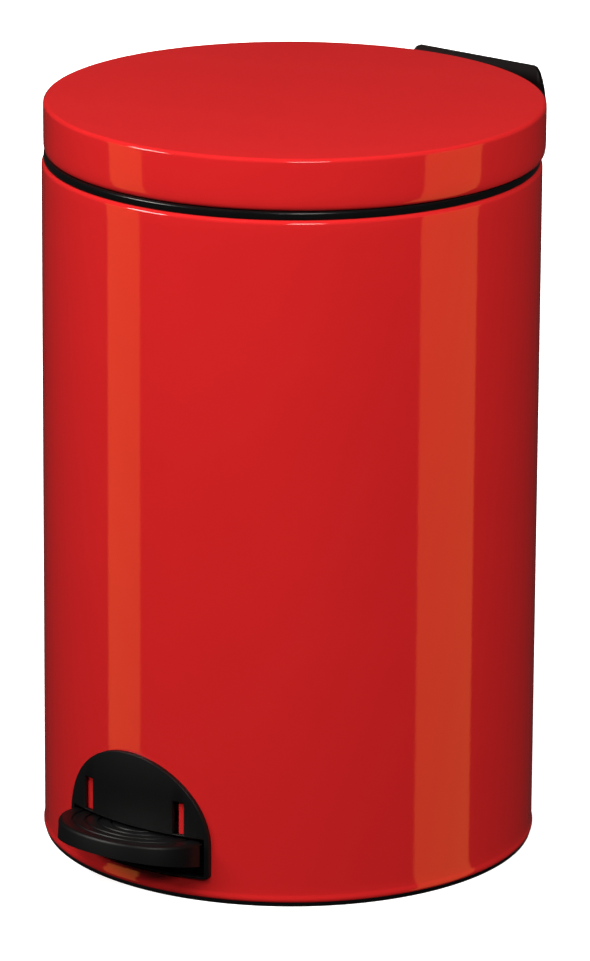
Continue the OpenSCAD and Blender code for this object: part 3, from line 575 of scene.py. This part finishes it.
# %% Foot pedal: the tongue that carries it on the lever
PIVOT = next(j for j in frame["joints"] if j["name"] == "pedal_pivot")["pos_m"]
ROD_Y, ROD_FOOT = 0.1395, 0.014      # where the push rod's lower hook sits in the lever, in metres
LEVER_TOP = 0.003                    # the lever's top face above its pivot
lever_slope = math.atan2(PIVOT[2] - ROD_FOOT, ROD_Y - PIVOT[1])
bm = bmesh.new()
tip = Matrix.Translation((0, -BODY_R * MM, PEDAL_TOP * MM)) @ Matrix.Rotation(-PEDAL_TILT, 4, "X")
block = Matrix.Translation((0, -0.0025, -0.0085)) @ Matrix.Diagonal((0.026, 0.045, 0.0145, 1))
bmesh.ops.create_cube(bm, size=1, matrix=tip @ block)
lever_face = Vector((0, PIVOT[1], PIVOT[2] + LEVER_TOP / math.cos(lever_slope)))
lever_down = (0, -math.sin(lever_slope), -math.cos(lever_slope))
bmesh.ops.bisect_plane(bm, geom=bm.verts[:] + bm.edges[:] + bm.faces[:], plane_co=lever_face, dist=1e-7,
                       plane_no=lever_down, clear_outer=True)
bmesh.ops.holes_fill(bm, edges=[e for e in bm.edges if e.is_boundary], sides=0)
bmesh.ops.bevel(bm, geom=bm.edges[:], offset=0.6 * MM, affect="EDGES", segments=2, profile=0.5, material=-1)
place("pedal_tongue", bm, "pedal", None, black_plastic)

# %% [markdown]
# ## Hinge housing
#
# The pocket behind the lid is the one piece whose shape is already all in the model. A copy of the
# model's mesh is merged, its flat facets are joined, and a Bevel modifier breaks the edges the way a
# mould does.

# %% Hinge housing
bm = bmesh.new()
bm.from_mesh(frame["nodes"]["hinge_housing"].data)
bmesh.ops.remove_doubles(bm, verts=bm.verts, dist=2e-6)
bmesh.ops.dissolve_limit(bm, angle_limit=math.radians(0.6), verts=bm.verts, edges=bm.edges,
                         use_dissolve_boundaries=False)
housing = place("lid_pocket", bm, "can", "hinge_housing", black_plastic)
soften(housing, 0.5)

# %% [markdown]
# ## Floor, light and camera
#
# A pale floor, an even pale surround, and soft boxes. The can is glossy, so a soft box is also a shape
# that shows in the paint. Two tall ones far to the sides draw the two upright bands: they are linked to
# the painted steel alone and show only in its gloss. Two bright ones above the lens draw the short glints
# on the lid's edge and on the shoulder. The other four light the can's matt colour and are hidden from
# the gloss, so that they draw no shapes of their own. The floor is hidden from reflections too, which
# lets the tall boxes carry on below it. The surround looks white to the lens and dim to the gloss.

# %% Floor and surround
bm = bmesh.new()
bmesh.ops.create_grid(bm, x_segments=1, y_segments=1, size=30)
floor_mesh = bpy.data.meshes.new("studio floor")
bm.to_mesh(floor_mesh)
bm.free()
floor = bpy.data.objects.new("studio_floor", floor_mesh)
bpy.context.scene.collection.objects.link(floor)
floor_paint = bpy.data.materials.new("pale floor")
floor_paint.use_nodes = True
paper = floor_paint.node_tree.nodes["Principled BSDF"]
paper.inputs["Base Color"].default_value = (0.9, 0.9, 0.9, 1)
paper.inputs["Roughness"].default_value = 0.95
paper.inputs["Specular IOR Level"].default_value = 0.0
paper.inputs["Emission Color"].default_value = (1, 1, 1, 1)
paper.inputs["Emission Strength"].default_value = 0.75
floor_mesh.materials.append(floor_paint)
floor.visible_glossy = False
floor.visible_diffuse = False

world = bpy.data.worlds.new("studio")
bpy.context.scene.world = world
world.use_nodes = True
tree = world.node_tree
tree.nodes.clear()
out = tree.nodes.new("ShaderNodeOutputWorld")
path = tree.nodes.new("ShaderNodeLightPath")
lens_white = tree.nodes.new("ShaderNodeBackground")
lens_white.inputs["Strength"].default_value = 1.0
lens_white.inputs["Color"].default_value = (1, 1, 1, 1)
fill = tree.nodes.new("ShaderNodeBackground")
fill.inputs["Color"].default_value = (0.96, 0.97, 1, 1)
fill.inputs["Strength"].default_value = 0.02
gloss_dim = tree.nodes.new("ShaderNodeBackground")
gloss_dim.inputs["Color"].default_value = (1, 1, 1, 1)
gloss_dim.inputs["Strength"].default_value = 0.02
pick_gloss = tree.nodes.new("ShaderNodeMixShader")
pick_lens = tree.nodes.new("ShaderNodeMixShader")
tree.links.new(path.outputs["Is Glossy Ray"], pick_gloss.inputs["Fac"])
tree.links.new(fill.outputs[0], pick_gloss.inputs[1])
tree.links.new(gloss_dim.outputs[0], pick_gloss.inputs[2])
tree.links.new(path.outputs["Is Camera Ray"], pick_lens.inputs["Fac"])
tree.links.new(pick_gloss.outputs[0], pick_lens.inputs[1])
tree.links.new(lens_white.outputs[0], pick_lens.inputs[2])
tree.links.new(pick_lens.outputs[0], out.inputs["Surface"])

# %% Soft boxes
def soft_box(name, azimuth, middle, reach, width, height, strength, aim=0.22, tint=(1, 0.97, 0.93),
             shows=True, lights=True):
    """An area light. Azimuth 0 is in front of the pedal and grows to the right; sizes in metres.

    strength is the brightness of its face, so that a bigger box isn't a dimmer one. shows is whether it
    is seen in gloss, and lights is whether it lights matt surfaces."""
    lamp = bpy.data.lights.new(name, "AREA")
    lamp.shape = "RECTANGLE"
    lamp.size = width
    lamp.size_y = height
    lamp.energy = strength * width * height * math.pi
    lamp.color = tint
    box = bpy.data.objects.new(name, lamp)
    a = math.radians(azimuth)
    box.location = (reach * math.sin(a), -reach * math.cos(a), middle)
    box.rotation_mode = "QUATERNION"
    box.rotation_quaternion = (Vector((0, 0, aim)) - box.location).to_track_quat("-Z", "Y")
    box.visible_diffuse = lights
    box.visible_glossy = shows
    box.visible_camera = False
    bpy.context.scene.collection.objects.link(box)
    return box


WARM = (1.0, 0.26, 0.05)
painted = bpy.data.collections.new("painted steel")
for piece in (body_wall, lid_cap):
    painted.objects.link(piece)
TALL_TOP = 0.95
tall_boxes = (("left tall box", -42, 0.68, -0.60), ("right tall box", 114, 1.15, -1.6))
for name, azimuth, width, low in tall_boxes:
    middle, height = (TALL_TOP + low) / 2, TALL_TOP - low
    tall = soft_box(name, azimuth, middle, 2.0, width, height, 2.2, aim=middle, tint=WARM, lights=False)
    tall.light_linking.receiver_collection = painted
soft_box("left key", -31, 1.25, 2.2, 0.8, 0.4, 23.6)
soft_box("right key", 45, 1.70, 2.6, 0.8, 0.4, 21.4)
soft_box("right side", 100, 1.3, 2.3, 1.4, 1.2, 5.2, shows=False)
soft_box("over the front", 25, 1.9, 1.2, 1.6, 1.0, 6.1, shows=False)
soft_box("over the left", -30, 1.9, 1.2, 1.6, 1.0, 2.8, shows=False)
soft_box("behind", -141.3, 0.7, 2.2, 2.0, 1.4, 4.0, shows=False)

# %% [markdown]
# A long lens from a few metres away, a little above the can and to its right. A long lens keeps the round
# top and the round foot close to the same width. The camera is an ordinary one: it is placed, turned and
# tipped, and its film sits straight behind the lens, so the same camera also works from any other side.

# %% Camera
LENS_MM, FILM_MM = 245.7, 36.0
LENS_AZIMUTH, TIP, ROLL = math.radians(38.61), math.radians(16.95), math.radians(0.35)
STAND = Vector((2.3175, -2.8975, 1.345))

lens = bpy.data.cameras.new("long lens")
lens.sensor_width = FILM_MM
lens.lens = LENS_MM
lens.clip_start, lens.clip_end = 0.05, 100
camera = bpy.data.objects.new("studio camera", lens)
bpy.context.scene.collection.objects.link(camera)
turn = Matrix.Rotation(LENS_AZIMUTH, 4, "Z") @ Matrix.Rotation(math.pi / 2 - TIP, 4, "X")
camera.matrix_world = Matrix.Translation(STAND) @ turn @ Matrix.Rotation(ROLL, 4, "Z")
bpy.context.scene.camera = camera
bpy.context.scene.view_settings.view_transform = "Standard"
print("lens", LENS_MM, "mm, from", [round(c, 2) for c in STAND])
